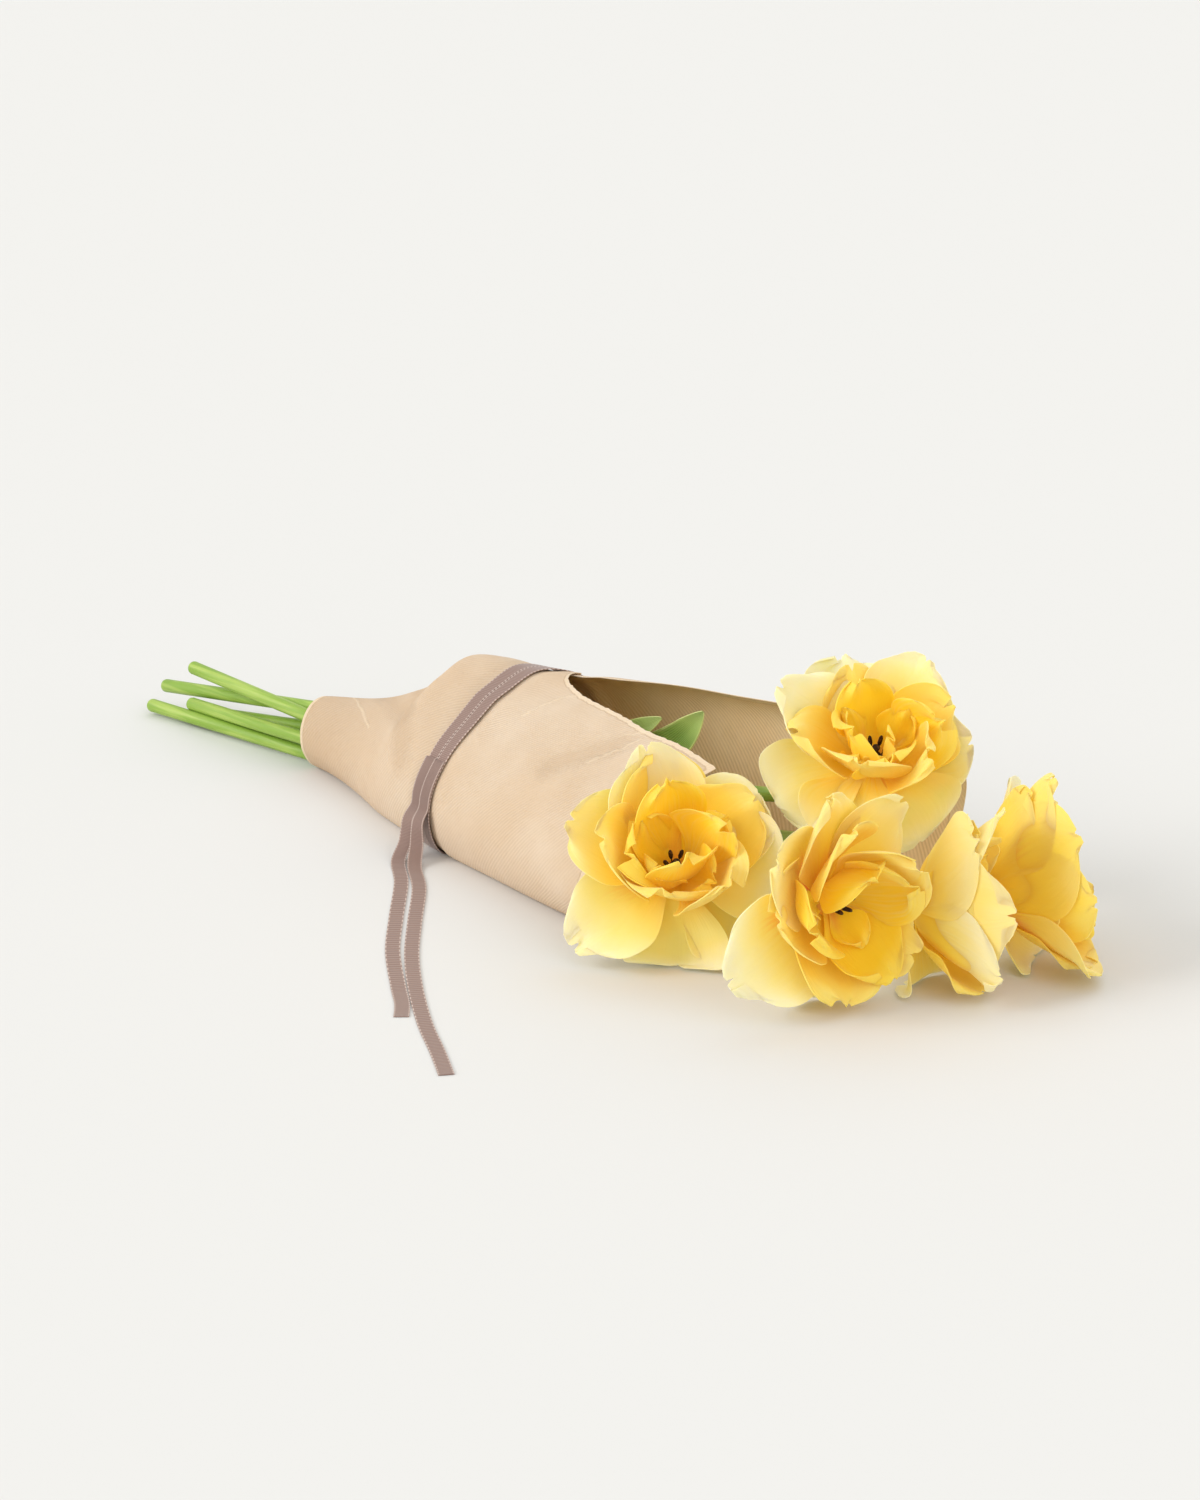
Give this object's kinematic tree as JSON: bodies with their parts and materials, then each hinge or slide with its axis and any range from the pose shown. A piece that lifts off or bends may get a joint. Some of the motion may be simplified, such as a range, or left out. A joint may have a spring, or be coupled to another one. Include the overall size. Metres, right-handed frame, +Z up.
{
  "type": "bunch of tulips",
  "caption": "Bunch of double tulips with leafy stems in a folded paper wrap, tied with a doubled ribbon, lying on a surface.",
  "frame": {"origin": "on the wrap's flat underside, on the surface that the bunch lies on", "axes": "+X along the bunch from the cut stem ends to the blooms, +Z up, -Y the near side that the front flap folds over"},
  "size_m": [0.6736, 0.3534, 0.1338],
  "materials": {
    "petal_yellow": "matte",
    "heart_brown": "matte",
    "stem_green": "satin",
    "paper_brown": "matte",
    "ribbon_mauve": "matte"
  },
  "bodies": {
    "root": {"bloom_1": "petal_yellow", "bloom_2": "petal_yellow", "bloom_3": "petal_yellow", "bloom_4": "petal_yellow", "bloom_5": "petal_yellow", "heart_1": "heart_brown", "heart_2": "heart_brown", "heart_3": "heart_brown", "heart_4": "heart_brown", "heart_5": "heart_brown", "stem_1": "stem_green", "stem_2": "stem_green", "stem_3": "stem_green", "stem_4": "stem_green", "stem_5": "stem_green", "paper_wrap": "paper_brown", "ribbon_strand_1": "ribbon_mauve", "ribbon_strand_2": "ribbon_mauve", "ribbon_tail_1": "ribbon_mauve", "ribbon_tail_2": "ribbon_mauve"}
  },
  "joints": []
}
